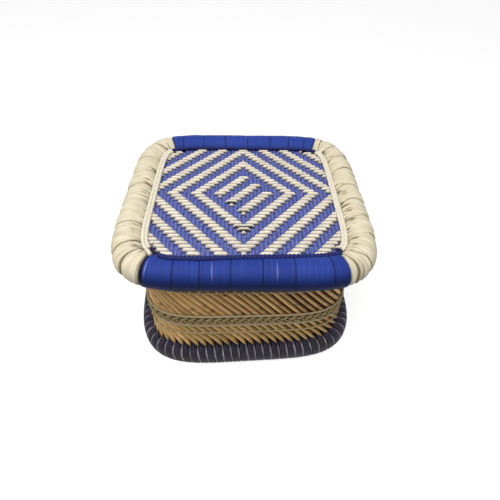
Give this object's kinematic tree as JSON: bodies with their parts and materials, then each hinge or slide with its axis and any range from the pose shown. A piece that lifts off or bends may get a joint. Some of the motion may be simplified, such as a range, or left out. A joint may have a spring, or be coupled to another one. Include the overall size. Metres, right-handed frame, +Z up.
{
  "type": "mudda stool",
  "caption": "Low square reed stool: crossed reeds between a wrapped base ring and a thick wound rim, with a cord seat woven in concentric diamonds.",
  "frame": {"origin": "on the floor, at the middle of the stool's plan", "axes": "+Z up, front of the stool towards -Y, +X to the right seen from the front"},
  "size_m": [0.406, 0.398, 0.242],
  "materials": {
    "blue_thread": "fine thread wound close, satin",
    "cream_strip": "fibrous strips of pale grass, matte",
    "cream_cord": "twisted cotton-like cord, matte",
    "blue_cord": "twisted cord, satin",
    "navy_cord": "twisted cord, matte",
    "base_strip": "plastic strip wound close, satin",
    "outer_reed": "dried reed, smooth",
    "inner_reed": "dried reed, darker inside",
    "twine": "grass twine, matte",
    "grass_core": "bundled grass"
  },
  "bodies": {
    "root": {"base_core": "grass_core", "base_wrap_front": "base_strip", "base_wrap_right": "base_strip", "base_wrap_back": "base_strip", "base_wrap_left": "base_strip", "outer_reeds_01": "outer_reed", "outer_reeds_02": "outer_reed", "outer_reeds_03": "outer_reed", "outer_reeds_04": "outer_reed", "outer_reeds_05": "outer_reed", "outer_reeds_06": "outer_reed", "outer_reeds_07": "outer_reed", "outer_reeds_08": "outer_reed", "outer_reeds_09": "outer_reed", "outer_reeds_10": "outer_reed", "outer_reeds_11": "outer_reed", "outer_reeds_12": "outer_reed", "outer_reeds_13": "outer_reed", "outer_reeds_14": "outer_reed", "outer_reeds_15": "outer_reed", "outer_reeds_16": "outer_reed", "outer_reeds_17": "outer_reed", "outer_reeds_18": "outer_reed", "inner_reeds_01": "inner_reed", "inner_reeds_02": "inner_reed", "inner_reeds_03": "inner_reed", "inner_reeds_04": "inner_reed", "inner_reeds_05": "inner_reed", "inner_reeds_06": "inner_reed", "inner_reeds_07": "inner_reed", "inner_reeds_08": "inner_reed", "inner_reeds_09": "inner_reed", "inner_reeds_10": "inner_reed", "inner_reeds_11": "inner_reed", "inner_reeds_12": "inner_reed", "inner_reeds_13": "inner_reed", "inner_reeds_14": "inner_reed", "inner_reeds_15": "inner_reed", "inner_reeds_16": "inner_reed", "waist_cord_upper": "twine", "waist_cord_lower": "twine", "waist_lacing": "twine", "lower_lashing": "twine", "upper_lashing": "twine", "rim_core": "grass_core", "rim_wrap_front": "blue_thread", "rim_wrap_right": "cream_strip", "rim_wrap_back": "blue_thread", "rim_wrap_left": "cream_strip", "seat_weft": "cream_cord", "seat_warp": "blue_cord", "edge_cord_front": "navy_cord", "edge_cord_right": "cream_cord", "edge_cord_back": "navy_cord", "edge_cord_left": "cream_cord"}
  },
  "joints": []
}
